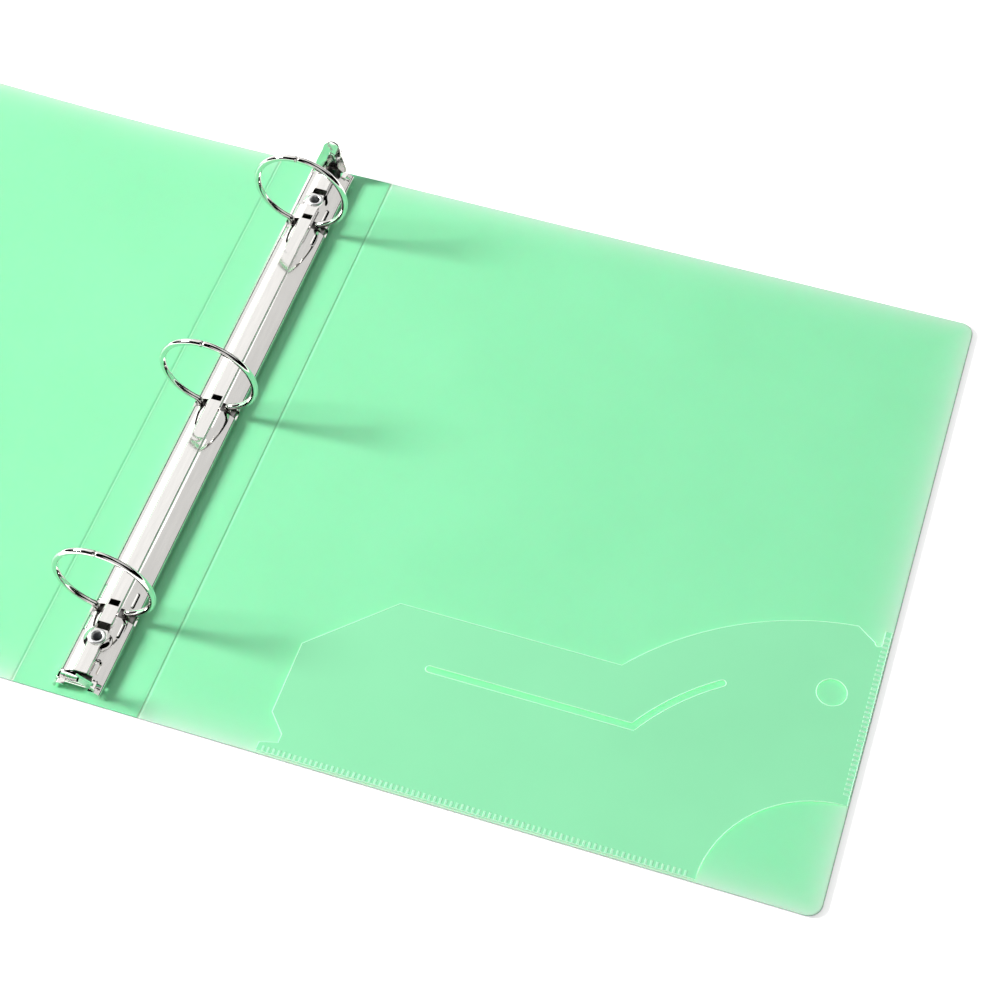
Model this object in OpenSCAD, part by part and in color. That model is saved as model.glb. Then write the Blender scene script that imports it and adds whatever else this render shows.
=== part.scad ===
// Ring binder, open and lying on its back: a one-piece sheet cover folded at two
// creases, and a sheet-steel ring mechanism riveted to the spine.
// X runs across the spine towards the back cover, Y up the spine, Z up.
// The origin is on the table under the middle of the spine.

/* [Sheet cover] */
// Height of the cover along the spine
cover_h = 295; // [285:1:320]
// Width of each cover from its crease to its free edge
cover_w = 273; // [255:1:290]
// Width of the spine between the two creases
spine_w = 54.5; // [54:0.5:70]
// Thickness of the moulded sheet
sheet_t = 0.9; // [0.7:0.1:1.1]
// Radius of the four outer corners
corner_r = 6; // [3:1:12]
// Half of the gap left between two panels along a crease
crease_gap = 0.05; // [0.03:0.01:0.1]

/* [Ring housing] */
// Length of the arched part of the housing
housing_l = 276; // [270:1:280]
// Overall width of the housing
housing_w = 20.4; // [20:0.2:22]
// Height of the crown of the arch above the sheet
crown_z = 7.3; // [7:0.1:8]
// Outside radius of the arch
arch_r = 15; // [14:0.5:18]
// Thickness of the housing steel
housing_t = 0.8; // [0.6:0.1:0.9]
// Shift of the whole mechanism from the middle of the cover, along the spine
mech_y = -1; // [-1:0.5:1]

/* [Rings] */
// Distance between neighbouring rings
ring_pitch = 107.95; // [100:0.05:108]
// Radius of the centre line of a ring's wire
ring_r = 20.6; // [18:0.1:20.6]
// Diameter of the ring wire
wire_d = 2.8; // [2.4:0.1:3]
// Height of a ring's centre above the sheet
ring_z = 27.6; // [27:0.1:28]
// Distance of a ring's foot from the middle of the spine
foot_x = 6.2; // [6:0.1:6.4]

/* [Triggers] */
// Length of a trigger's tongue above its pivot
tongue_l = 19; // [14:1:20]
// Width of the tongue at its shoulders
tongue_w = 15; // [11:0.5:16]
// Lean of a closed trigger away from the rings
trigger_lean = 15; // [5:1:20]

/* [Pocket on the back cover] */
// Radius of the film's upper edge around the cover's lower outer corner
pocket_r = 128.3; // [120:0.1:135]
// Radius of the quarter-round cut-out at the lower outer corner
pocket_cut_r = 48; // [40:1:60]
// Height of the film's straight upper edge
pocket_h = 80.7; // [75:0.1:85]
// Radius of the thumb hole
thumb_r = 6.1; // [5:0.1:8]

/* [Hidden] */
$fn = 96;
eps = 0.01;

// Levels above the table
cap_h = 1.0;                  // rivet caps stand this far out of the spine
sheet_z = cap_h;              // outer face of the sheet
mech_z = sheet_z + sheet_t;   // inner face of the sheet, base of the mechanism
hinge_x = spine_w / 2;

// Rivets
rivet_pitch = 243;
bore_r = 1.9;
tube_r = 2.4;
spacer_r = 2.9;
flare_r = 3.4;
cap_r = 4.6;
rivet_clear = 0.05;

// Housing
hw = housing_w / 2;
arch_cz = crown_z - arch_r;
wall_z = 1.0;                 // lower edge of the side walls above the sheet
lip_w = 1.3;                  // turned-in lip under a rail
band_w = 5.4;                 // raised band along the crown
band_h = 0.35;
pad_z = crown_z + band_h;     // flat seat of a rivet
seat_z = 6.1;                 // underside of that seat
ear_l = 6;                    // the side ears reach this far past the arch
ear_x = 5.2;                  // inner edge of an ear
ear_h = 5.2;
ear_window = [7.4, 9.4, 1.3]; // window for a pin: its two edges in x, and half its length
notch_w = 4.2;                // slot that a ring's foot passes through
notch_x = 3.4;
notch_z = 3.0;
window_w = 6.2;               // window beside each rivet
window_l = 3.4;
bead_r = 0.45;                // stiffening beads pressed in beside the rings
bead_x = 7.0;

// Rails
pivot_x = 8.6;
rail_z = 2.2;
rail_t = 1.0;
rail_l = 277.2;
rail_gap = 0.15;
rail_relief_r = 3.6;
tenon_r = 0.9;
tenon_clear = 0.02;
upset_r = 1.4;
upset_h = 0.45;

// Ring halves
wire_r = wire_d / 2;
bend_r = 2.4;
bend_a = asin((foot_x + bend_r) / (ring_r + bend_r));
bend_z = ring_z - (ring_r + bend_r) * cos(bend_a);
tip_gap = 0.15;
peg_r = 0.6;
peg_l = 0.9;
peg_clear = 0.3;
tip_a = asin(tip_gap / ring_r);
arc_steps = 18;
bend_steps = 4;
wire_sides = 12;

// Triggers
trigger_y = 141;              // pivot, from the middle of the mechanism
trigger_z = 3.0;
tongue_t = 1.0;
tongue_tip_r = 4.25;
root_w = 9.4;                 // width of the tongue between the ears
shoulder_z = 5.2;             // the tongue widens above the ears
pin_r = 1.0;
pin_l = 18.4;
flange_t = 0.8;
flange_d = 2.2;
nib_w = 2.0;
nib_t = 0.8;
nib_reach = 3.4;
nib_drop = 1.7;

// Pocket film, label sleeve and weld lines
film_t = 0.35;
film_gap = 0.35;
film_inset = 0.8;             // film edge to cover edge
film_x = 49;                  // inner edge of the film, from the crease
slit_r = 104;
slit_w = 3.0;
slit_y = 55.5;
slit_x = 101.2;
slit_end_a = 55;
weld_pitch = 2.2;
weld_w = 1.2;
weld_l = 2.6;
weld_in = 2.2;
sleeve_w = 42;
sleeve_y = [28, 108];
sleeve_t = 0.25;
sleeve_rim = 0.2;

RING_YS = [for (i = [-1:1]) i * ring_pitch];
RIVET_YS = [-rivet_pitch / 2, rivet_pitch / 2];

sheet_green = [0.62, 0.95, 0.76];
film_green = [0.66, 0.94, 0.80];
nickel = [0.80, 0.79, 0.77];

// ---- helpers -------------------------------------------------------------

// A profile drawn in X and Z, extruded along Y over a length l centred on y0
module along_y(l, y0 = 0) {
  translate([0, y0 + l / 2, 0]) rotate([90, 0, 0]) linear_extrude(l) children();
}

// A profile drawn in Y and Z, extruded along X from x0 over a width w
module along_x(w, x0 = 0) {
  translate([x0, 0, 0]) rotate([90, 0, 90]) linear_extrude(w) children();
}

// Points on a circle of radius r, in 30 degree steps from a0 to a1
function round_end(x, y, r, a0, a1) = [
  for (a = [a0:(a1 > a0 ? 30 : -30):a1]) [x + r * cos(a), y + r * sin(a)]
];

// A line of width w bent into a U: an arch of radius r over two straight legs
module u_outline(r, w, leg) {
  polygon(concat(
    [[r + w / 2, -leg]], round_end(0, 0, r + w / 2, 0, 180), [[-r - w / 2, -leg]],
    [[w / 2 - r, -leg]], round_end(0, 0, r - w / 2, 180, 0), [[r - w / 2, -leg]]
  ));
}

// The frame of the ring mechanism: its base is the inner face of the sheet
module on_sheet() {
  translate([0, mech_y, mech_z]) children();
}

// A cover seen from above, x from its crease, with its two outer corners rounded
module cover_outline() {
  h = cover_h / 2;
  union() {
    translate([0, -h]) square([cover_w - corner_r, cover_h]);
    translate([0, corner_r - h]) square([cover_w, cover_h - 2 * corner_r]);
    for (s = [-1, 1]) translate([cover_w - corner_r, s * (h - corner_r)]) circle(r = corner_r);
  }
}

// ---- sheet cover ---------------------------------------------------------

// One cover, x from its crease. The crease edge is bevelled 45 degrees from the
// outer face, so that the cover folds up square against the spine.
module cover_sheet() {
  intersection() {
    translate([0, 0, sheet_z]) linear_extrude(sheet_t) cover_outline();
    along_y(cover_h + 2) polygon([
      [crease_gap, sheet_z - 1], [cover_w + 1, sheet_z - 1],
      [cover_w + 1, sheet_z + sheet_t + 1], [crease_gap + sheet_t + 1, sheet_z + sheet_t + 1],
      [crease_gap, sheet_z]
    ]);
  }
}

module back_cover() {
  color(sheet_green) translate([hinge_x, 0, 0]) cover_sheet();
}

module front_cover() {
  color(sheet_green) mirror([1, 0, 0]) translate([hinge_x, 0, 0]) cover_sheet();
}

module spine_panel() {
  half = hinge_x - crease_gap;
  color(sheet_green) difference() {
    along_y(cover_h) polygon([
      [-half, sheet_z], [half, sheet_z],
      [half - sheet_t, sheet_z + sheet_t], [sheet_t - half, sheet_z + sheet_t]
    ]);
    for (y = RIVET_YS) translate([0, mech_y + y, sheet_z - 1])
      cylinder(r = tube_r + rivet_clear, h = sheet_t + 2);
  }
}

// Clear sleeve on the outside of the spine, open at its upper end
module spine_label_sleeve() {
  h = sleeve_y[1] - sleeve_y[0];
  rim = 1.5;
  color([0.9, 0.97, 0.93]) difference() {
    translate([-sleeve_w / 2, sleeve_y[0], sheet_z - sleeve_t - sleeve_rim])
      cube([sleeve_w, h, sleeve_t + sleeve_rim]);
    translate([rim - sleeve_w / 2, sleeve_y[0] + rim, sheet_z - sleeve_rim])
      cube([sleeve_w - 2 * rim, h, sleeve_rim + 1]);
  }
}

// ---- pocket on the back cover --------------------------------------------

// Places a flat pocket shape: x from the crease, y from the cover's lower edge
module on_back_cover(z0, h) {
  translate([hinge_x, -cover_h / 2, z0]) linear_extrude(h) children();
}

// A point at radius r around the cover's lower outer corner, a degrees up from its lower edge
function corner_point(r, a) = [cover_w - r * cos(a), r * sin(a)];

// Points of an arc of radius r around that corner, from a0 to a1 degrees
function corner_arc(r, a0, a1, steps) = [
  for (i = [0:steps]) corner_point(r, a0 + i * (a1 - a0) / steps)
];

// The upper edge is straight, then an arc around the lower outer corner. A rounded
// notch beside the side weld and a quarter-round cut-out end the outer edge.
module pocket_outline() {
  right = cover_w - film_inset;
  cut_a = asin(film_inset / pocket_cut_r);
  difference() {
    polygon(concat(
      [
        [film_x, film_inset], [film_x, 4.5], [56.2, 6.4], [56.2, 10.3],
        [film_x, 18.5], [film_x, 51], [80.2, pocket_h]
      ],
      corner_arc(pocket_r, asin(pocket_h / pocket_r), acos(14.4 / pocket_r), 24),
      round_end(cover_w - 4.9, 121.9, 1.5, 180, 360),
      [corner_point(pocket_r, acos(3.4 / pocket_r)), [right, pocket_r]],
      corner_arc(pocket_cut_r, 90 - cut_a, cut_a, 16)
    ));
    translate([cover_w - 17.7, 94.4]) circle(r = thumb_r);
    slit_outline();
  }
}

// Slit for a card: straight, then an arc around the same corner
module slit_outline() {
  half = slit_w / 2;
  high_a = asin((slit_y + half) / (slit_r + half));
  low_a = asin((slit_y - half) / (slit_r - half));
  polygon(concat(
    round_end(slit_x, slit_y, half, 270, 90),
    corner_arc(slit_r + half, high_a, slit_end_a, 12),
    [for (a = [30:30:150]) corner_point(slit_r, slit_end_a)
      + half * [-cos(slit_end_a + a), sin(slit_end_a + a)]],
    corner_arc(slit_r - half, slit_end_a, low_a, 12)
  ));
}

module back_pocket_film() {
  color(film_green) on_back_cover(mech_z + film_gap, film_t) pocket_outline();
}

// The welds are rows of small pads that join the film to the cover
module pocket_bottom_weld() {
  n = floor((cover_w - pocket_cut_r - film_x - 4) / weld_pitch);
  color(film_green) for (i = [0:n - 1])
    on_back_cover(mech_z, film_gap)
      translate([film_x + 2 + i * weld_pitch, weld_in - weld_l / 2]) square([weld_w, weld_l]);
}

module pocket_side_weld() {
  low = pocket_cut_r + 4;
  n = floor((127 - low) / weld_pitch);
  color(film_green) for (i = [0:n - 1])
    on_back_cover(mech_z, film_gap)
      translate([cover_w - weld_in - weld_l / 2, low + i * weld_pitch]) square([weld_l, weld_w]);
}

// ---- ring housing --------------------------------------------------------

// Solid under the arch, inset by the thickness of the steel where asked
module arch_outline(inset = 0) {
  intersection() {
    translate([0, arch_cz]) circle(r = arch_r - inset, $fn = 160);
    translate([inset - hw, wall_z - (inset > 0 ? 1 : 0)]) square([2 * (hw - inset), crown_z]);
  }
}

module housing_profile() {
  edge = arch_cz + sqrt(pow(arch_r, 2) - pow(band_w / 2 + 0.7, 2));
  union() {
    difference() {
      arch_outline();
      arch_outline(housing_t);
    }
    polygon([
      [-band_w / 2 - 0.7, edge - 0.25], [band_w / 2 + 0.7, edge - 0.25],
      [band_w / 2, crown_z + band_h], [-band_w / 2, crown_z + band_h]
    ]);
    for (s = [-1, 1]) translate([s > 0 ? hw - housing_t - lip_w + eps : housing_t - hw - eps, wall_z])
      square([lip_w, housing_t]);
  }
}

// Pressed-in bead along the housing, between two stations
module bead(x, y0, y1) {
  z = arch_cz + sqrt(pow(arch_r, 2) - pow(x, 2));
  translate([x, y0, z]) rotate([-90, 0, 0]) rotate_extrude($fn = 24) polygon([
    [0, 0], [0.1, 0], [bead_r, 0.7], [bead_r, y1 - y0 - 0.7], [0.1, y1 - y0], [0, y1 - y0]
  ]);
}

// U-shaped lance near the lower end
module lance_cut() {
  translate([4.6, -132.4, crown_z - 4]) linear_extrude(6) u_outline(1.3, 0.6, 4);
}

// Each end is cut back between two ears, and each ear is lower and has a window
module end_cuts() {
  for (s = [-1, 1]) {
    translate([-ear_x, s > 0 ? housing_l / 2 : -housing_l / 2 - ear_l - 1, -1])
      cube([2 * ear_x, ear_l + 1, 20]);
    translate([-hw - 1, s > 0 ? housing_l / 2 + 1.5 : -housing_l / 2 - ear_l - 1, ear_h])
      cube([2 * hw + 2, ear_l - 0.5, 20]);
    for (t = [-1, 1])
      translate([t > 0 ? ear_window[0] : -ear_window[1], s * trigger_y - ear_window[2], trigger_z - 1.1])
        cube([ear_window[1] - ear_window[0], 2 * ear_window[2], 20]);
  }
}

module ring_housing() {
  color(nickel) on_sheet() difference() {
    union() {
      along_y(housing_l + 2 * ear_l) housing_profile();
      for (y = RIVET_YS) translate([0, y, seat_z]) cylinder(r1 = 6.4, r2 = 4.8, h = pad_z - seat_z);
    }
    end_cuts();
    for (y = RING_YS) {
      for (t = [-1, 1]) translate([t > 0 ? notch_x : -hw - 1, y - notch_w / 2, notch_z])
        cube([hw + 1 - notch_x, notch_w, 20]);
      translate([-2.2, y + 1.9, crown_z - 3]) cube([4.4, 2.8, 6]);
    }
    for (y = RIVET_YS) {
      translate([0, y, 0]) cylinder(r = tube_r + rivet_clear, h = 20);
      translate([-window_w / 2, y + flare_r + 0.4, 5]) cube([window_w, window_l, 6]);
    }
    for (y = [RING_YS[0], RING_YS[2]]) for (s = [-1, 1]) {
      bead(s * bead_x, y + 4.5, y + 10.5);
      bead(s * bead_x, y - 10, y - 4.5);
    }
    lance_cut();
  }
}

// ---- rivets --------------------------------------------------------------

// Tubular rivet with a spacing shoulder, flared over the housing
module rivet(y) {
  color([0.86, 0.86, 0.86]) on_sheet() translate([0, y, 0]) rotate_extrude() {
    translate([bore_r, -sheet_t]) square([tube_r - bore_r, sheet_t + pad_z + eps]);
    translate([bore_r, 0]) square([spacer_r - bore_r, seat_z]);
    intersection() {
      translate([(bore_r + flare_r) / 2, pad_z]) circle(r = (flare_r - bore_r) / 2, $fn = 48);
      translate([bore_r, pad_z]) square([flare_r, flare_r]);
    }
  }
}

// Cap over the rivet's outer end, on the outside of the spine
module rivet_cap(y) {
  color(nickel) translate([0, mech_y + y, 0]) rotate_extrude() polygon([
    [0, 0], [cap_r - 1.2, 0], [cap_r - 0.4, 0.3], [cap_r, 0.7], [cap_r, cap_h], [0, cap_h]
  ]);
}

module top_rivet() { rivet(RIVET_YS[1]); }
module bottom_rivet() { rivet(RIVET_YS[0]); }
module top_rivet_cap() { rivet_cap(RIVET_YS[1]); }
module bottom_rivet_cap() { rivet_cap(RIVET_YS[0]); }

// ---- rails and rings -----------------------------------------------------

// Right-hand rail: it turns on its rounded outer edge inside the housing
module rail() {
  color([0.70, 0.70, 0.70]) on_sheet() difference() {
    along_y(rail_l) union() {
      translate([rail_gap, rail_z]) square([pivot_x - rail_gap, rail_t]);
      translate([pivot_x, rail_z + rail_t / 2]) circle(r = rail_t / 2, $fn = 48);
    }
    for (y = RING_YS) translate([foot_x, y, 0]) cylinder(r = tenon_r + tenon_clear, h = 10);
    for (y = RIVET_YS) translate([0, y, 0]) cylinder(r = rail_relief_r, h = 10);
  }
}

module right_rail() { rail(); }
module left_rail() { mirror([1, 0, 0]) rail(); }

// A ring half is one tube swept through stations [x, z, t, r]: the tube's centre,
// the direction (sin t, -cos t) across it, and its radius there.
function arc_stations() = [
  for (i = [0:arc_steps])
    let (t = 180 - tip_a - i * (180 - tip_a - bend_a) / arc_steps)
    [ring_r * sin(t), ring_z - ring_r * cos(t), t, wire_r]
];

function bend_stations() = [
  for (i = [1:bend_steps])
    let (t = bend_a + i * (90 - bend_a) / bend_steps)
    [foot_x + bend_r - bend_r * sin(t), bend_z + bend_r * cos(t), t, wire_r]
];

// The foot stands on the rail, its tenon goes through it and is upset below
function foot_stations() = [
  [foot_x, rail_z + rail_t, 90, wire_r],
  [foot_x, rail_z + rail_t, 90, tenon_r],
  [foot_x, rail_z, 90, tenon_r],
  [foot_x, rail_z, 90, upset_r],
  [foot_x, rail_z - upset_h, 90, upset_r]
];

// The tips meet as a peg on the left half and a socket in the right half
function peg_stations() = [
  [tip_gap - peg_l, ring_z + ring_r, 180, peg_r],
  [tip_gap, ring_z + ring_r, 180, peg_r]
];

function socket_stations() = [
  [tip_gap + peg_l + peg_clear, ring_z + ring_r, 180, peg_r + peg_clear],
  [tip_gap, ring_z + ring_r, 180, peg_r + peg_clear]
];

// Right-hand half of a ring with the given tip
module half_ring(y, tip) {
  stations = concat(tip, arc_stations(), bend_stations(), foot_stations());
  n = len(stations);
  m = wire_sides;
  points = [
    for (s = stations) for (k = [0:m - 1])
      let (a = 360 * k / m)
      [s[0] + s[3] * cos(a) * sin(s[2]), s[3] * sin(a), s[1] - s[3] * cos(a) * cos(s[2])]
  ];
  sides = [
    for (i = [0:n - 2]) for (k = [0:m - 1])
      [i * m + k, i * m + (k + 1) % m, (i + 1) * m + (k + 1) % m, (i + 1) * m + k]
  ];
  caps = [
    [for (k = [m - 1:-1:0]) k],
    [for (k = [0:m - 1]) (n - 1) * m + k]
  ];
  color(nickel) on_sheet() translate([0, y, 0]) polyhedron(points, concat(sides, caps), convexity = 4);
}

module right_half(y) { half_ring(y, socket_stations()); }
module left_half(y) { mirror([1, 0, 0]) half_ring(y, peg_stations()); }

module top_ring_left() { left_half(RING_YS[2]); }
module middle_ring_left() { left_half(RING_YS[1]); }
module bottom_ring_left() { left_half(RING_YS[0]); }
module top_ring_right() { right_half(RING_YS[2]); }
module middle_ring_right() { right_half(RING_YS[1]); }
module bottom_ring_right() { right_half(RING_YS[0]); }

// ---- triggers ------------------------------------------------------------

// Trigger about its pivot, tongue up and outward side towards +Y
module trigger_shape() {
  tip_z = tongue_l - tongue_tip_r;
  root = root_w / 2;
  wide = tongue_w / 2;
  rotate([-trigger_lean, 0, 0]) {
    along_y(tongue_t) union() {
      polygon([
        [-root, -1], [root, -1], [root, shoulder_z - 1.6], [wide, shoulder_z], [wide - 0.2, shoulder_z + 2],
        [tongue_tip_r, tip_z], [-tongue_tip_r, tip_z],
        [0.2 - wide, shoulder_z + 2], [-wide, shoulder_z], [-root, shoulder_z - 1.6]
      ]);
      translate([0, tip_z]) circle(r = tongue_tip_r - 0.02, $fn = 64);
    }
    // raised U on the face of the tongue
    along_y(0.35, -tongue_t / 2 - 0.17) translate([0, 11]) u_outline(1.9, 0.7, 2.2);
    // flanges turned outwards along its two slanted edges
    for (s = [-1, 1]) along_y(flange_d, flange_d / 2) polygon([
      [s * (wide - 0.2), shoulder_z + 2], [s * (tongue_tip_r + 0.1), tip_z - 0.5],
      [s * (tongue_tip_r + 0.1 - flange_t), tip_z - 0.5], [s * (wide - 0.2 - flange_t), shoulder_z + 2]
    ]);
  }
  translate([-pin_l / 2, 0, 0]) rotate([0, 90, 0]) cylinder(r = pin_r, h = pin_l);
  // nib that lifts the inner edges of the rails
  along_x(nib_w, -nib_w / 2) polygon([
    [0, 0.6], [0, -0.9], [-1.4, -nib_drop - nib_t / 2], [-nib_reach, -nib_drop - nib_t / 2],
    [-nib_reach, -nib_drop + nib_t / 2], [-1.8, -nib_drop + nib_t / 2], [-0.8, 0.6]
  ]);
}

module top_trigger() {
  color(nickel) on_sheet() translate([0, trigger_y, trigger_z]) trigger_shape();
}

module bottom_trigger() {
  color(nickel) on_sheet() translate([0, -trigger_y, trigger_z]) mirror([0, 1, 0]) trigger_shape();
}

spine_panel();
front_cover();
back_cover();
spine_label_sleeve();
back_pocket_film();
pocket_bottom_weld();
pocket_side_weld();
ring_housing();
top_rivet();
bottom_rivet();
top_rivet_cap();
bottom_rivet_cap();
left_rail();
right_rail();
top_ring_left();
middle_ring_left();
bottom_ring_left();
top_ring_right();
middle_ring_right();
bottom_ring_right();
top_trigger();
bottom_trigger();
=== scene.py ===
"""Looks of the ring binder: a folded translucent sheet cover and a polished ring mechanism."""
import math

import bmesh
import bpy
import numpy as np
from mathutils import Matrix, Vector


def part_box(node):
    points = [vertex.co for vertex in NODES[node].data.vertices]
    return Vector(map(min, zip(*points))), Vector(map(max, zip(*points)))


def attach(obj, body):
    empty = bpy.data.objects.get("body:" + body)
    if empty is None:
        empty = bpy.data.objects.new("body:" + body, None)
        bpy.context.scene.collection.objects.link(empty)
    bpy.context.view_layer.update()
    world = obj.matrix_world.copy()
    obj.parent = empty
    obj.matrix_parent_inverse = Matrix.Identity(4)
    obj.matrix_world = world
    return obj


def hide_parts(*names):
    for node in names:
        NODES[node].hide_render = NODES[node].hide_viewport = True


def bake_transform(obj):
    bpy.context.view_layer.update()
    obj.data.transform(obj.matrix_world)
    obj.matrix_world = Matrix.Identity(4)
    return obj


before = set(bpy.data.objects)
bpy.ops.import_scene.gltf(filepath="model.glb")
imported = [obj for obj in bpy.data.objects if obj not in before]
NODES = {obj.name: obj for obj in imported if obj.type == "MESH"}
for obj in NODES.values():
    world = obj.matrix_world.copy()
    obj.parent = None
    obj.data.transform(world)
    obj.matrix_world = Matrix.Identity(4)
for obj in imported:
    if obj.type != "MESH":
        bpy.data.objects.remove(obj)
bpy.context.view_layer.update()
MM = 0.001


# ---- camera, light and floor ---------------------------------------------

FLOOR_HALF = 90

def add_camera():
    """The photograph's view: from beyond the back cover's lower edge, looking down."""
    position = Vector((0.2914, -0.4949, 0.7567))
    target = Vector((0.1298, -0.0058, 0.0019))
    roll = math.radians(-0.25)
    data = bpy.data.cameras.new("camera")
    data.sensor_width = 36
    data.lens = 78.8
    data.clip_start = 0.01
    camera = bpy.data.objects.new("camera", data)
    turn = (target - position).to_track_quat("-Z", "Y").to_matrix().to_4x4()
    camera.matrix_world = Matrix.Translation(position) @ turn @ Matrix.Rotation(roll, 4, "Z")
    bpy.context.scene.collection.objects.link(camera)
    bpy.context.scene.camera = camera


def add_light(name, position, target, size, power, colour=(1, 1, 1)):
    data = bpy.data.lights.new(name, "AREA")
    data.shape = "DISK"
    data.size = size
    data.energy = power
    data.color = colour
    light = bpy.data.objects.new(name, data)
    light.location = position
    light.rotation_euler = (Vector(target) - Vector(position)).to_track_quat("-Z", "Y").to_euler()
    bpy.context.scene.collection.objects.link(light)
    return light


REFLECTOR_DISTANCE = 2


def add_reflector(name, azimuth, elevation, size, brightness):
    """A lit square panel that shows up only in reflections. Its face has the given brightness."""
    turn, lift = math.radians(azimuth), math.radians(elevation)
    flat = REFLECTOR_DISTANCE * math.cos(lift)
    height = REFLECTOR_DISTANCE * math.sin(lift)
    position = (flat * math.cos(turn), flat * math.sin(turn), height)
    power = brightness * math.pi * size * size
    panel = add_light(name, position, (0, 0, 0), size, power)
    panel.data.shape = "SQUARE"
    panel.visible_diffuse = False


def add_lights():
    """One key light from the left, and panels whose reflections make the white faces of the plating."""
    add_light("key", (-2.45, -0.46, 1.58), (0.06, 0, 0), 0.8, 150, (1, 0.995, 0.985))
    add_reflector("back_reflector", 132, 47, 2.2, 1.06)
    add_reflector("left_reflector", 150, 21, 1.2, 1.0)
    add_reflector("right_reflector", 45, 48, 1.6, 0.76)
    add_reflector("front_reflector", 285, 28, 1.2, 0.8)


def add_world():
    """An even pale surround, left out of reflections so that the plating keeps its black lines."""
    world = bpy.data.worlds.new("studio")
    world.use_nodes = True
    world.cycles_visibility.glossy = False
    tree = world.node_tree
    place = tree.nodes.new("ShaderNodeTexCoord")
    split = tree.nodes.new("ShaderNodeSeparateXYZ")
    tree.links.new(place.outputs["Generated"], split.inputs["Vector"])
    stops = [(0.0, (0, 0, 0)), (0.002, (1, 1, 1)), (1, (1, 1, 1))]
    tone = add_ramp(tree, split.outputs["Z"], stops)
    sky = tree.nodes["Background"]
    tree.links.new(tone, sky.inputs["Color"])
    sky.inputs["Strength"].default_value = 0.48
    bpy.context.scene.world = world


def add_floor():
    """A wide pale floor. A faint glow, seen but not cast, stands in for a bright white studio sweep."""
    mesh = bpy.data.meshes.new("floor")
    corners = [(-FLOOR_HALF, -FLOOR_HALF, 0), (FLOOR_HALF, -FLOOR_HALF, 0)]
    corners += [(FLOOR_HALF, FLOOR_HALF, 0), (-FLOOR_HALF, FLOOR_HALF, 0)]
    mesh.from_pydata(corners, [], [(0, 1, 2, 3)])
    material, _, shader = new_material("pale_floor")
    shader.inputs["Base Color"].default_value = (0.95, 0.95, 0.95, 1)
    shader.inputs["Roughness"].default_value = 0.7
    shader.inputs["Emission Color"].default_value = (1, 1, 1, 1)
    shader.inputs["Emission Strength"].default_value = 0.45
    mesh.materials.append(material)
    floor = bpy.data.objects.new("floor", mesh)
    bpy.context.scene.collection.objects.link(floor)
    floor.visible_diffuse = False


# ---- materials -----------------------------------------------------------

def new_material(name):
    material = bpy.data.materials.new(name)
    material.use_nodes = True
    tree = material.node_tree
    return material, tree, tree.nodes["Principled BSDF"]


def add_noise(tree, scale, detail=3, stretch=(1, 1, 1)):
    """Noise over object coordinates, about scale cells to a metre."""
    place = tree.nodes.new("ShaderNodeTexCoord")
    mapping = tree.nodes.new("ShaderNodeMapping")
    mapping.inputs["Scale"].default_value = stretch
    noise = tree.nodes.new("ShaderNodeTexNoise")
    noise.inputs["Scale"].default_value = scale
    noise.inputs["Detail"].default_value = detail
    tree.links.new(place.outputs["Object"], mapping.inputs["Vector"])
    tree.links.new(mapping.outputs["Vector"], noise.inputs["Vector"])
    return noise.outputs["Fac"]


def add_ramp(tree, factor, stops):
    ramp = tree.nodes.new("ShaderNodeValToRGB")
    marks = ramp.color_ramp.elements
    while len(marks) < len(stops):
        marks.new(0.5)
    for mark, (at, colour) in zip(marks, stops):
        mark.position = at
        mark.color = (*colour, 1)
    tree.links.new(factor, ramp.inputs["Fac"])
    return ramp.outputs["Color"]


def add_bump(tree, shader, height, strength, distance):
    bump = tree.nodes.new("ShaderNodeBump")
    bump.inputs["Strength"].default_value = strength
    bump.inputs["Distance"].default_value = distance
    tree.links.new(height, bump.inputs["Height"])
    tree.links.new(bump.outputs["Normal"], shader.inputs["Normal"])


def shade(colour, factor):
    return tuple(min(1, c * factor) for c in colour)


def sheet_material(name, colour, grain=0.05, roughness=0.45, depth=0.5):
    """Moulded translucent sheet: mottled very slightly, with a fine matte grain."""
    material, tree, shader = new_material(name)
    cloud = add_noise(tree, 14, 4)
    tint = add_ramp(tree, cloud, [(0.3, shade(colour, 0.97)), (0.7, shade(colour, 1.02))])
    # painted light: towards its free edges the sheet's colour is painted a little paler, for light that
    # gets in under the lifted edges and through the sheet
    edge_light = tree.nodes.new("ShaderNodeAttribute")
    edge_light.attribute_name = "painted_edge_light"
    mix = tree.nodes.new("ShaderNodeMixRGB")
    mix.inputs["Color2"].default_value = (*PAINTED_EDGE_LIGHT_GREEN, 1)
    tree.links.new(edge_light.outputs["Fac"], mix.inputs["Fac"])
    tree.links.new(tint, mix.inputs["Color1"])
    tree.links.new(mix.outputs["Color"], shader.inputs["Base Color"])
    shader.inputs["Roughness"].default_value = roughness
    shader.inputs["IOR"].default_value = 1.46
    shader.inputs["Specular IOR Level"].default_value = 0.22
    shader.inputs["Subsurface Weight"].default_value = depth
    shader.inputs["Subsurface Radius"].default_value = (0.25, 1.0, 0.6)
    shader.inputs["Subsurface Scale"].default_value = 0.006
    add_bump(tree, shader, add_noise(tree, 2600, 2), grain, 0.0002)
    return material


def metal_material(name, colour, roughness):
    """Plated steel with faint wiping marks along Y."""
    material, tree, shader = new_material(name)
    streak = add_noise(tree, 160, 3, (4, 0.4, 1))
    tint = add_ramp(tree, streak, [(0.3, shade(colour, 0.95)), (0.7, shade(colour, 1.02))])
    tree.links.new(tint, shader.inputs["Base Color"])
    least, most = roughness * 0.8, roughness * 1.25
    rough = add_ramp(tree, streak, [(0.3, (least,) * 3), (0.7, (most,) * 3)])
    tree.links.new(rough, shader.inputs["Roughness"])
    shader.inputs["Metallic"].default_value = 1
    return material


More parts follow.
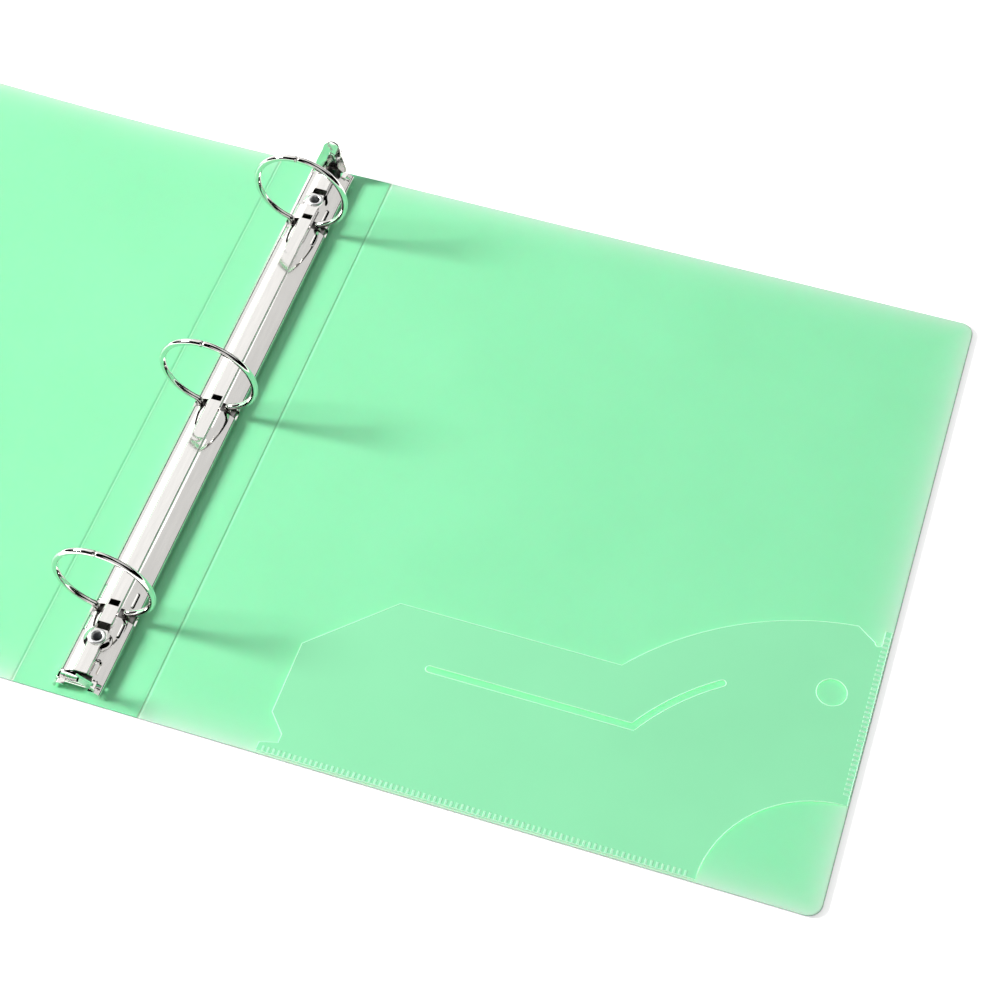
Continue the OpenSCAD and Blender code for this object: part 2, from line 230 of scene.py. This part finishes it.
SHEET_GREEN = (0.24, 0.87, 0.39)
FILM_GREEN = (0.235, 0.655, 0.365)
MARK_GREEN = (0.36, 0.83, 0.52)
# painted highlight: the pale green of the bright line along the film's cut edges
RIM_HIGHLIGHT_GREEN = (0.50, 0.98, 0.68)
# painted light: the paler green painted along the sheet's free edges
PAINTED_EDGE_LIGHT_GREEN = (0.52, 0.90, 0.60)
SLEEVE_GREEN = (0.55, 0.93, 0.72)

SHEET = sheet_material("green_sheet", SHEET_GREEN)
FILM = sheet_material("pocket_film", FILM_GREEN, 0.03, 0.38, 0.05)
RIM_HIGHLIGHT = sheet_material("cut_edge_highlight", RIM_HIGHLIGHT_GREEN, 0.02, 0.3)
MARK = sheet_material("weld_mark", MARK_GREEN, 0.02, 0.3)
SLEEVE = sheet_material("clear_sleeve", SLEEVE_GREEN, 0.01, 0.15)
NICKEL = metal_material("polished_nickel", (0.85, 0.83, 0.80), 0.08)
WIRE = metal_material("ring_wire", (0.84, 0.82, 0.79), 0.07)
ZINC = metal_material("rivet_zinc", (0.86, 0.86, 0.86), 0.33)
# painted shade: the rails are painted dark grey for the shade they lie in under the housing
SHADED_RAIL_STEEL = metal_material("rail_steel", (0.30, 0.29, 0.28), 0.35)
# painted shade: the dark of the disc down each rivet's bore
BORE_SHADE = metal_material("painted_bore_shade", (0.10, 0.11, 0.12), 0.5)


# ---- mesh helpers --------------------------------------------------------

MERGE_M = 2e-6


def add_piece(name, points, faces, material, body, stands_for=(), sharp=40):
    """A new piece from points in millimetres, riding on a CAD body."""
    mesh = bpy.data.meshes.new(name)
    mesh.from_pydata([tuple(c * MM for c in p) for p in points], [], faces)
    mesh.validate()
    work = bmesh.new()
    work.from_mesh(mesh)
    bmesh.ops.remove_doubles(work, verts=work.verts, dist=1e-7)
    bmesh.ops.recalc_face_normals(work, faces=work.faces)
    work.to_mesh(mesh)
    work.free()
    return finish_piece(name, mesh, material, body, stands_for, sharp)


def finish_piece(name, mesh, material, body, stands_for=(), sharp=40):
    mesh.materials.clear()
    mesh.materials.append(material)
    mesh.polygons.foreach_set("use_smooth", [True] * len(mesh.polygons))
    mesh.set_sharp_from_angle(angle=math.radians(sharp))
    piece = bpy.data.objects.new(name, mesh)
    bpy.context.scene.collection.objects.link(piece)
    if body:
        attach(piece, body)
    if stands_for:
        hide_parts(*stands_for)
    return piece


def paint(node, material):
    """A CAD node keeps its shape and gets a material."""
    slots = NODES[node].material_slots
    for slot in slots:
        slot.material = material
    if not slots:
        NODES[node].data.materials.append(material)


def grid_faces(rows, columns, offset=0, flip=False):
    faces = []
    for i in range(rows - 1):
        for j in range(columns - 1):
            a = offset + i * columns + j
            quad = (a, a + 1, a + columns + 1, a + columns)
            faces.append(quad[::-1] if flip else quad)
    return faces


def sweep(stations, sides):
    """Closed tube through stations (point, across, radius), where across lies in the XZ plane."""
    points, faces = [], []
    for (x, y, z), (ax, az), r in stations:
        for k in range(sides):
            a = 2 * math.pi * k / sides
            flat = r * math.cos(a)
            points.append((x + flat * ax, y + r * math.sin(a), z + flat * az))
    for i in range(len(stations) - 1):
        for k in range(sides):
            a, b = i * sides + k, i * sides + (k + 1) % sides
            faces.append((a, b, b + sides, a + sides))
    faces.append(tuple(range(sides))[::-1])
    faces.append(tuple((len(stations) - 1) * sides + k for k in range(sides)))
    return points, faces


def lathe(profile, x, y, steps=48):
    """Closed ring or solid turned from (radius, z) points about the upright axis at x, y."""
    points, faces = [], []
    n = len(profile)
    for k in range(steps):
        a = 2 * math.pi * k / steps
        points += [(x + r * math.cos(a), y + r * math.sin(a), z) for r, z in profile]
    for k in range(steps):
        for i in range(n):
            a, b = k * n + i, k * n + (i + 1) % n
            c, d = ((k + 1) % steps) * n + (i + 1) % n, ((k + 1) % steps) * n + i
            faces.append((a, b, c, d))
    return points, faces


def refined(node, name, material, body, bevel, sharp=35):
    """A copy of a CAD node with its triangles joined into faces and its edges softened."""
    mesh = NODES[node].data.copy()
    mesh.name = name
    work = bmesh.new()
    work.from_mesh(mesh)
    bmesh.ops.remove_doubles(work, verts=work.verts, dist=MERGE_M)
    bmesh.ops.dissolve_limit(
        work, angle_limit=math.radians(2), verts=work.verts, edges=work.edges,
        delimit={"NORMAL"},
    )
    edges = [
        e for e in work.edges
        if len(e.link_faces) == 2 and e.calc_face_angle(0) > math.radians(sharp)
    ]
    if bevel > 0:
        bmesh.ops.bevel(
            work, geom=edges, offset=bevel * MM, segments=2, profile=0.6,
            affect="EDGES", clamp_overlap=True,
        )
    bmesh.ops.recalc_face_normals(work, faces=work.faces)
    work.to_mesh(mesh)
    work.free()
    finish_piece(name, mesh, material, body, [node], 50)


def smoothstep(value, start, end):
    t = np.clip((value - start) / (end - start), 0, 1)
    return t * t * (3 - 2 * t)


def mm_box(node):
    low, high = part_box(node)
    return [c / MM for c in low], [c / MM for c in high]


# ---- sheet cover ---------------------------------------------------------

SPINE_LOW, SPINE_HIGH = mm_box("spine_panel")
CREASE_X = SPINE_HIGH[0]
HALF_H = SPINE_HIGH[1]
SHEET_Z = SPINE_LOW[2]
INNER_Z = SPINE_HIGH[2]
CORNER_R = 6
GROOVE_HALF = 0.6
GROOVE_DEPTH = 0.16
EDGE = 0.28


def crease_groove(x):
    """Depth of the moulded crease at a distance x from the middle of the spine."""
    return GROOVE_DEPTH * (1 - smoothstep(np.abs(np.abs(x) - CREASE_X), 0.15, GROOVE_HALF))


def edge_rows():
    """Rows along Y: fine at both ends, so that the rim is rounded and the corners are round."""
    steps = range(0, 90, 9)
    corner = [HALF_H - CORNER_R + CORNER_R * math.sin(math.radians(a)) for a in steps]
    outer = sorted(set(corner + [HALF_H - EDGE, HALF_H - EDGE / 3, HALF_H]))
    middle = list(np.linspace(-HALF_H + CORNER_R, HALF_H - CORNER_R, 81))[1:-1]
    return [-y for y in reversed(outer)] + middle + outer


def cover_columns(inner):
    """Columns from the crease to inner, where the round corners begin: fine at the crease."""
    offsets = (-GROOVE_HALF, -0.3, -0.15, 0, 0.15, 0.3, GROOVE_HALF, 1.2, 2.5)
    columns = [CREASE_X + d for d in offsets]
    columns += list(np.linspace(CREASE_X + 5, inner, 46))
    columns += [inner - d for d in (9, 6, 3)]
    return sorted(columns)


def sheet_piece(name, node, side, bow):
    """One cover from just inside its crease to its free edge. side is +1 or -1 in X."""
    low, high = mm_box(node)
    free_x = max(abs(low[0]), abs(high[0]))
    inner = free_x - CORNER_R
    rows = edge_rows()
    columns = cover_columns(inner)
    # the last columns follow the corner's curve, as parts of the way from inner to the edge
    tail = [0.2, 0.4, 0.6, 0.75, 0.88, 1 - EDGE / CORNER_R, 1 - EDGE / CORNER_R / 3, 1]
    width = len(columns) + len(tail)
    points = []
    for top in (True, False):
        for y in rows:
            over = max(0.0, abs(y) - (HALF_H - CORNER_R))
            reach = inner + math.sqrt(max(0.0, CORNER_R ** 2 - over ** 2))
            xs = columns + [inner + (reach - inner) * t for t in tail]
            rim_y = max(0.0, 1 - (HALF_H - abs(y)) / EDGE)
            for j, x in enumerate(xs):
                rim_x = max(0.0, 1 - (reach - x) / EDGE) if j >= len(columns) else 0.0
                rim = min(1.0, math.hypot(rim_x, rim_y)) * EDGE
                s = max(0.0, (x - CREASE_X) / (free_x - CREASE_X))
                lift = bow(s, y / HALF_H)
                z = INNER_Z - float(crease_groove(x)) - rim if top else SHEET_Z + rim
                points.append((side * x, y, z + lift))
    count = len(rows) * width
    faces = grid_faces(len(rows), width) + grid_faces(len(rows), width, count, True)
    border = list(range(width))
    border += [i * width + width - 1 for i in range(1, len(rows))]
    border += [(len(rows) - 1) * width + j for j in range(width - 2, -1, -1)]
    border += [i * width for i in range(len(rows) - 2, 0, -1)]
    for a, b in zip(border, border[1:] + border[:1]):
        faces.append((a, a + count, b + count, b))
    piece = add_piece(name, points, faces, SHEET, None, [node], 60)
    add_painted_edge_light(piece, free_x)
    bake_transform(piece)


def add_painted_edge_light(piece, free_x):
    """How near each point is to the free edges: the mask of the paler painted light along the sheet's
    free edges.
    """
    spread, most = 5.0, 0.9
    edge_light = piece.data.attributes.new("painted_edge_light", "FLOAT", "POINT")
    values = []
    for v in piece.data.vertices:
        x, y = abs(v.co.x) / MM, abs(v.co.y) / MM
        inside = min(free_x - x, HALF_H - y)
        corner_x, corner_y = x - (free_x - CORNER_R), y - (HALF_H - CORNER_R)
        if corner_x > 0 and corner_y > 0:
            inside = CORNER_R - math.hypot(corner_x, corner_y)
        values.append(most * math.exp(-max(0.0, inside) / spread))
    edge_light.data.foreach_set("value", values)


FRONT_BOW_H = 6.0
# s ** 3 * (1 - s) times this has its highest point, at s = 3/4, very near 1
FRONT_BOW_SCALE = 9.48


def front_bow(s, v):
    """Lift of the front cover, with s from the crease to the free edge and v from -1 to 1 along Y."""
    arch = FRONT_BOW_H * s ** 3 * (1 - s) * FRONT_BOW_SCALE
    return arch + 0.5 * math.sin(3.1 * v + 1) * s * (1 - s)


def back_bow(s, v):
    """Lift of the back cover, in the same terms."""
    return 0.35 * math.sin(2.6 * v + 0.6) * smoothstep(s, 0.05, 0.4) * (1 - s)


def add_spine():
    """The middle panel, up to the inner side of both creases."""
    rows = edge_rows()
    half = CREASE_X - GROOVE_HALF
    xs = list(np.linspace(-half, half, 30))
    width = len(xs)
    points = []
    for top in (True, False):
        for y in rows:
            rim = max(0.0, 1 - (HALF_H - abs(y)) / EDGE) * EDGE
            for x in xs:
                z = INNER_Z - float(crease_groove(x)) - rim if top else SHEET_Z + rim
                points.append((x, y, z))
    count = len(rows) * width
    faces = grid_faces(len(rows), width) + grid_faces(len(rows), width, count, True)
    for i in range(len(rows) - 1):
        for j in (0, width - 1):
            a = i * width + j
            faces.append((a, a + width, a + width + count, a + count))
    for j in range(width - 1):
        for i in (0, len(rows) - 1):
            a = i * width + j
            faces.append((a, a + 1, a + 1 + count, a + count))
    add_piece("spine_sheet", points, faces, SHEET, "spine", ["spine_panel"], 60)


# ---- pocket --------------------------------------------------------------

def outline_loops(node):
    """The sharp outlines of a flat node's upper face, as loops of points in millimetres."""
    high = mm_box(node)[1][2]
    work = bmesh.new()
    work.from_mesh(NODES[node].data)
    bmesh.ops.remove_doubles(work, verts=work.verts, dist=MERGE_M)
    links = {}
    for edge in work.edges:
        a, b = edge.verts
        level = min(a.co.z, b.co.z) / MM > high - 0.02
        if level and len(edge.link_faces) == 2 and edge.calc_face_angle(0) > 1:
            links.setdefault(a.index, []).append(b.index)
            links.setdefault(b.index, []).append(a.index)
    work.verts.ensure_lookup_table()
    loops, seen = [], set()
    for start in sorted(links):
        if start in seen:
            continue
        loop, last, here = [], None, start
        while here not in seen:
            seen.add(here)
            loop.append([c / MM for c in work.verts[here].co])
            ahead = [n for n in links[here] if n != last]
            last, here = here, ahead[0]
        loops.append(loop)
    work.free()
    return loops


def add_rims(name, node, body, radius):
    """A thin bead along a film's cut edges, sunk a little into its upper face, in a pale green that
    paints the highlight on the cut edge.
    """
    points, faces = [], []
    sides, sink = 6, 0.05
    for loop in outline_loops(node):
        n = len(loop)
        base = len(points)
        for i, here in enumerate(loop):
            before, after = Vector(loop[i - 1]), Vector(loop[(i + 1) % n])
            along = (after - before).normalized()
            across = Vector((along.y, -along.x, 0))
            for k in range(sides):
                a = 2 * math.pi * k / sides
                p = Vector(here) + across * radius * math.cos(a)
                points.append((p.x, p.y, p.z - sink + radius * math.sin(a)))
        for i in range(n):
            this_ring, next_ring = base + i * sides, base + ((i + 1) % n) * sides
            for k in range(sides):
                turned = (k + 1) % sides
                faces.append((this_ring + k, this_ring + turned, next_ring + turned, next_ring + k))
    add_piece(name, points, faces, RIM_HIGHLIGHT, body, (), 60)


def add_weld_marks(name, node, across_x, film_top):
    """Pressed marks over a weld: one low pad to each pad of the weld below."""
    pitch, width = 2.2, 1.2
    rise, slope = 0.14, 0.2
    sunk, shoulder = 0.1, 0.02
    low, high = mm_box(node)
    axis = 0 if across_x else 1
    count = round((high[axis] - low[axis] - width) / pitch) + 1
    points, faces = [], []
    for i in range(count):
        a0 = low[axis] + i * pitch
        x0, x1 = (a0, a0 + width) if across_x else (low[0], high[0])
        y0, y1 = (low[1], high[1]) if across_x else (a0, a0 + width)
        base = len(points)
        levels = ((0, film_top - sunk), (0, film_top + shoulder), (slope, film_top + rise))
        for inset, z in levels:
            points += [(x0 + inset, y0 + inset, z), (x1 - inset, y0 + inset, z),
                       (x1 - inset, y1 - inset, z), (x0 + inset, y1 - inset, z)]
        for ring in (0, 4):
            for k in range(4):
                a, b = base + ring + k, base + ring + (k + 1) % 4
                faces.append((a, b, b + 4, a + 4))
        faces.append(tuple(base + 8 + k for k in range(4)))
        faces.append(tuple(base + k for k in (3, 2, 1, 0)))
    add_piece(name, points, faces, MARK, "back_cover", (), 20)


# ---- ring mechanism ------------------------------------------------------

# The housing's dimensions in millimetres, with heights above the sheet
HOUSING_LOW, HOUSING_HIGH = mm_box("ring_housing")
MECH_Y = (HOUSING_LOW[1] + HOUSING_HIGH[1]) / 2
HOUSING_W = HOUSING_HIGH[0]
ARCH_HALF_L = 138
EAR_END, EAR_X, EAR_H = 144, 5.2, 5.2
WINDOW_X, WINDOW_Y, WINDOW_HALF = (7.4, 9.4), 141, 1.3
ARCH_R = 15
CROWN = 7.3
ARCH_CZ = CROWN - ARCH_R
WALL_Z = 1.0
STEEL_T = 0.8
BAND_HALF = 2.7
BAND_H = 0.35
RING_PITCH = 107.95
RIVET_Y = 121.5
RIVET_HOLE_R = 2.5
NOTCH_X, NOTCH_HALF, NOTCH_Z = 3.4, 2.1, 3.0
NOTCH_FLOOR_Z = NOTCH_Z - 0.9
# punched windows: half width in X, and where they start and end in Y from their ring or rivet
RING_WINDOW_X, RING_WINDOW_Y = 2.2, (1.9, 4.7)
RIVET_WINDOW_X, RIVET_WINDOW_Y = 3.1, (3.8, 7.2)
RING_YS = (-RING_PITCH, 0, RING_PITCH)
RIVET_YS = (-RIVET_Y, RIVET_Y)


def bead_height(x, y):
    """Narrow pressed beads beside the outer rings, one above and one below each foot."""
    total = 0
    for ring in (RING_YS[0], RING_YS[2]):
        for start, end in ((4.5, 10.5), (-10, -4.5)):
            along = np.clip(y - ring, start, end) + ring
            gap = np.hypot(np.abs(x) - 7, y - along)
            total = total + 0.42 * (1 - smoothstep(gap, 0.1, 0.62))
    return total


def lance_depth(x, y):
    """A narrow U pressed near the lower end."""
    cx, cy, r, leg = 4.6, -132.4, 1.3, 4.0
    on_arc = np.abs(np.hypot(x - cx, y - cy) - r)
    on_leg = np.hypot(np.abs(np.abs(x - cx) - r), y - np.clip(y, cy - leg, cy))
    gap = np.where(y > cy, on_arc, on_leg)
    return 0.7 * (1 - smoothstep(gap, 0.12, 0.42))


def housing_height(x, y):
    """Upper face of the housing, before the openings are cut."""
    z = ARCH_CZ + np.sqrt(np.maximum(ARCH_R ** 2 - x ** 2, 0))
    band = CROWN + BAND_H - 0.004 * x ** 2
    on_band = 1 - smoothstep(np.abs(x), BAND_HALF, BAND_HALF + 0.55)
    z = np.where(np.abs(x) < 6, z + (band - z) * on_band, z)
    for rivet in RIVET_YS:
        gap = np.hypot(x, y - rivet)
        dome = 1 - smoothstep(gap, 3.4, 6.0)
        z = z + (CROWN + BAND_H + 0.05 - z) * dome
    for ring in RING_YS:
        oval = np.hypot(x / 4.2, (y - ring + 15) / 5.5)
        z = z + 0.12 * (1 - smoothstep(oval, 0.6, 1.1))
    z = z + bead_height(x, y) - lance_depth(x, y)
    ear_top = EAR_H - 0.03 * (np.abs(y) - 139)
    return np.where(np.abs(y) > ARCH_HALF_L + 1.2, np.minimum(z, ear_top), z)


def housing_rows():
    """Rows along Y: exact at every opening's edge, and fine beside the openings and pressings."""
    fine = [(r - 11.5, r + 11.5, 0.5) for r in RING_YS[::2]] + [(-4, 4, 0.5), (-22, -8, 0.7)]
    fine += [(r - 9, r + 9, 0.45) for r in RIVET_YS] + [(-138, -130, 0.3)]
    fine += [(r - 22, r - 11.5, 0.8) for r in RING_YS[::2]]
    exact = []
    for end in (-1, 1):
        edges = (ARCH_HALF_L, EAR_END, WINDOW_Y - WINDOW_HALF, WINDOW_Y + WINDOW_HALF)
        exact += [end * v for v in edges]
    for r in RING_YS:
        exact += [r - NOTCH_HALF, r + NOTCH_HALF, r + RING_WINDOW_Y[0], r + RING_WINDOW_Y[1]]
    for r in RIVET_YS:
        exact += [r + RIVET_WINDOW_Y[0], r + RIVET_WINDOW_Y[1]]
    loose = list(np.arange(-ARCH_HALF_L, ARCH_HALF_L, 3.0))
    loose += [end * v for end in (-1, 1) for v in (138.6, 139.1, 139.4, 143, 143.6)]
    for a, b, step in fine:
        loose += list(np.arange(a, b, step))
    rows = sorted(exact)
    for y in loose:
        if abs(y) < EAR_END and min(abs(y - e) for e in rows) > 0.17:
            rows.append(y)
    return np.array(sorted(rows))


def housing_columns():
    """Columns across the housing's upper face, out to where its side walls begin to round over."""
    half = [0.0, 0.6, 1.2, 1.8, RING_WINDOW_X, 2.45, BAND_HALF, 2.85, 3.0, RIVET_WINDOW_X, 3.25]
    half += [NOTCH_X, 3.7, 4.0, 4.3, 4.6, 4.9, EAR_X, 5.5, 5.8, 6.1, 6.35, 6.6, 6.8, 7.0, 7.2]
    half += [WINDOW_X[0], 7.65, 8.0, 8.4, 8.8, 9.1, WINDOW_X[1]]
    return np.array([-x for x in reversed(half[1:])] + half)


def housing_grid():
    """Points of the whole upper skin as three grids, with the side walls folded down at both sides."""
    rows, columns = housing_rows(), housing_columns()
    x, y = np.meshgrid(columns, rows)
    z = housing_height(x, y)
    # the rounded shoulder and the side wall hang below the last column on each side
    last = z[:, -1]
    shoulder = [(9.68, -0.17), (9.9, -0.38), (10.06, -0.65), (10.17, -1.0), (10.2, -1.5)]
    right_x = [np.full((len(rows), 1), sx) for sx, _ in shoulder]
    right_x += [np.full((len(rows), 2), HOUSING_W)]
    right_z = [(last + drop)[:, None] for _, drop in shoulder]
    right_z += [np.full((len(rows), 1), NOTCH_FLOOR_Z), np.full((len(rows), 1), WALL_Z)]
    wall_x, wall_z = np.hstack(right_x), np.hstack(right_z)
    xs = np.hstack([-wall_x[:, ::-1], x, wall_x])
    zs = np.hstack([wall_z[:, ::-1], z, wall_z])
    ys = np.repeat(rows[:, None], xs.shape[1], axis=1)
    return xs, ys, zs


def housing_openings(x, y, z):
    """Which cells of the skin, given by their middles, are cut away."""
    hole = np.zeros_like(x, bool)
    for r in RING_YS:
        near = np.abs(y - r) < NOTCH_HALF
        hole |= near & (np.abs(x) > NOTCH_X) & (z > NOTCH_FLOOR_Z)
        on_window = (y > r + RING_WINDOW_Y[0]) & (y < r + RING_WINDOW_Y[1])
        hole |= (np.abs(x) < RING_WINDOW_X) & on_window
    hole |= (np.abs(y) > ARCH_HALF_L) & (np.abs(x) < EAR_X)
    in_window = (np.abs(x) > WINDOW_X[0]) & (np.abs(x) < WINDOW_X[1])
    hole |= in_window & (np.abs(np.abs(y) - WINDOW_Y) < WINDOW_HALF)
    for r in RIVET_YS:
        on_window = (y > r + RIVET_WINDOW_Y[0]) & (y < r + RIVET_WINDOW_Y[1])
        hole |= (np.abs(x) < RIVET_WINDOW_X) & on_window
        hole |= np.hypot(x, y - r) < RIVET_HOLE_R
    return hole


def cell_middles(grid):
    return (grid[:-1, :-1] + grid[1:, 1:]) / 2


def add_housing():
    xs, ys, zs = housing_grid()
    hole = housing_openings(cell_middles(xs), cell_middles(ys), cell_middles(zs))
    count = zs.shape[1]
    flat = zip(xs.ravel(), ys.ravel(), zs.ravel())
    points = [(x, y + MECH_Y, z + INNER_Z) for x, y, z in flat]
    faces = []
    for i in range(hole.shape[0]):
        for j in range(hole.shape[1]):
            if not hole[i, j]:
                a = i * count + j
                faces.append((a, a + 1, a + count + 1, a + count))
    mesh = bpy.data.meshes.new("housing_shell")
    mesh.from_pydata([tuple(c * MM for c in p) for p in points], [], faces)
    work = bmesh.new()
    work.from_mesh(mesh)
    loose = [v for v in work.verts if not v.link_faces]
    bmesh.ops.delete(work, geom=loose, context="VERTS")
    thicken(work, STEEL_T * MM)
    work.to_mesh(mesh)
    work.free()
    finish_piece("housing_shell", mesh, NICKEL, "spine", ["ring_housing"], 38)


def thicken(work, depth):
    """Closes an open upward-facing skin into a shell of that depth below it."""
    work.normal_update()
    work.verts.ensure_lookup_table()
    twins = {}
    for v in list(work.verts):
        twins[v] = work.verts.new(v.co - v.normal * depth)
    for f in list(work.faces):
        work.faces.new([twins[v] for v in reversed(f.verts)])
    for e in [e for e in work.edges if len(e.link_faces) == 1 and e.verts[0] in twins]:
        face = e.link_faces[0]
        loop = next(l for l in face.loops if l.edge == e)
        a, b = loop.vert, loop.link_loop_next.vert
        work.faces.new([b, a, twins[a], twins[b]])


def turned_piece(name, profile, y, material, stands_for=(), sharp=40):
    """A part turned from (radius, height above the sheet) about a rivet's axis."""
    raised = [(r, z + INNER_Z) for r, z in profile]
    points, faces = lathe(raised, 0, MECH_Y + y)
    add_piece(name, points, faces, material, "spine", stands_for, sharp)


def add_rivets():
    """Tubular rivets with a rolled lip, a dark disc inside that paints the shade down the bore, and a
    cap under the spine.
    """
    top = CROWN + BAND_H
    lip_r, lip_wire = 2.75, 0.82
    tube_r, bore_r, foot_z = 2.4, 1.93, -0.9
    lip = [
        (lip_r + lip_wire * math.cos(a), top + 0.12 + lip_wire * math.sin(a) * 0.85)
        for a in np.linspace(-0.25, math.pi + 0.1, 12)
    ]
    tube = [(tube_r, foot_z), (tube_r, top - 0.05)] + lip + [(bore_r, top - 0.3), (bore_r, foot_z)]
    # painted shade: a dark disc inside the tube stands for the shade in the bore
    bore_shade_disc = [(0.01, 1.2), (1.95, 1.2), (1.95, 1.9), (0.01, 1.9)]
    for place, y in zip(("bottom", "top"), RIVET_YS):
        turned_piece(f"{place}_rivet_tube", tube, y, ZINC, [f"{place}_rivet"], 45)
        turned_piece(f"{place}_rivet_bore", bore_shade_disc, y, BORE_SHADE)
        add_rivet_head(place, y)


def add_rivet_head(place, y):
    """The cap on the spine's outside, which lies at the frame's own heights."""
    cap = [(0.01, 0), (3.4, 0), (4.0, 0.1), (4.4, 0.35), (4.6, 0.75), (4.6, 1.0), (0.01, 1.0)]
    points, faces = lathe(cap, 0, MECH_Y + y)
    name, node = f"{place}_rivet_head", f"{place}_rivet_cap"
    add_piece(name, points, faces, NICKEL, "spine", [node], 40)


RING_R = 20.6
RING_Z = 27.6
WIRE_R = 1.4
FOOT_X = 6.2
BEND_R = 2.4
RAIL_TOP = 3.2
TIP_GAP = 0.15
PEG_R, PEG_L = 0.6, 0.9
TIP_CHAMFER = 0.22
ARC_STEPS = 56
BEND_STEPS = 10


def ring_stations(left):
    """Half a ring from tip to foot, drawn on the right. Left tips have a peg, right tips a socket."""
    bend = math.asin((FOOT_X + BEND_R) / (RING_R + BEND_R))
    bend_z = RING_Z - (RING_R + BEND_R) * math.cos(bend)
    tip = math.pi - math.asin(TIP_GAP / RING_R)
    if left:
        ends = [(TIP_GAP - PEG_L, PEG_R * 0.7), (TIP_GAP - PEG_L + 0.15, PEG_R), (TIP_GAP, PEG_R)]
    else:
        ends = [(TIP_GAP + PEG_L + 0.3, PEG_R + 0.3), (TIP_GAP, PEG_R + 0.3)]
    ends.append((TIP_GAP, WIRE_R - TIP_CHAMFER))
    rows = [((x, 0, RING_Z + RING_R), (0, 1), r) for x, r in ends]
    first = tip - TIP_CHAMFER / RING_R
    for i in range(ARC_STEPS + 1):
        t = first - i * (first - bend) / ARC_STEPS
        place = (RING_R * math.sin(t), 0, RING_Z - RING_R * math.cos(t))
        rows.append((place, (math.sin(t), -math.cos(t)), WIRE_R))
    for i in range(1, BEND_STEPS + 1):
        t = bend + i * (math.pi / 2 - bend) / BEND_STEPS
        place = (FOOT_X + BEND_R - BEND_R * math.sin(t), 0, bend_z + BEND_R * math.cos(t))
        rows.append((place, (math.sin(t), -math.cos(t)), WIRE_R))
    rows.append(((FOOT_X, 0, RAIL_TOP), (1, 0), WIRE_R))
    return rows


def add_rings():
    for side, sign, body in (("left", -1, "left_ring_bar"), ("right", 1, "right_ring_bar")):
        for place, y in zip(("bottom", "middle", "top"), RING_YS):
            points, faces = sweep(ring_stations(side == "left"), 28)
            points = [(sign * x, py + y + MECH_Y, z + INNER_Z) for x, py, z in points]
            node = f"{place}_ring_{side}"
            add_piece(f"{place}_ring_{side}_wire", points, faces, WIRE, body, [node], 45)


# ---- assembly ------------------------------------------------------------

add_camera()
add_lights()
add_world()
# plain linear-to-screen tone, so that pale colours stay clean
bpy.context.scene.view_settings.view_transform = "Standard"

add_spine()
sheet_piece("front_cover_sheet", "front_cover", -1, front_bow)
sheet_piece("back_cover_sheet", "back_cover", 1, back_bow)
paint("back_pocket_film", FILM)
paint("pocket_bottom_weld", FILM)
paint("pocket_side_weld", FILM)
paint("spine_label_sleeve", SLEEVE)
FILM_TOP = mm_box("back_pocket_film")[1][2]
add_rims("pocket_film_rim", "back_pocket_film", "back_cover", 0.24)
add_weld_marks("bottom_weld_marks", "pocket_bottom_weld", True, FILM_TOP)
add_weld_marks("side_weld_marks", "pocket_side_weld", False, FILM_TOP)

# the thin clear film lets the light through, so it throws no shadow on the cover
for piece in ("back_pocket_film", "pocket_film_rim", "bottom_weld_marks", "side_weld_marks"):
    bpy.data.objects[piece].visible_shadow = False

add_housing()
add_rivets()
add_rings()
paint("left_rail", SHADED_RAIL_STEEL)
paint("right_rail", SHADED_RAIL_STEEL)
for end in ("top", "bottom"):
    refined(f"{end}_trigger", f"{end}_trigger_plate", NICKEL, f"{end}_trigger", 0.18)

add_floor()
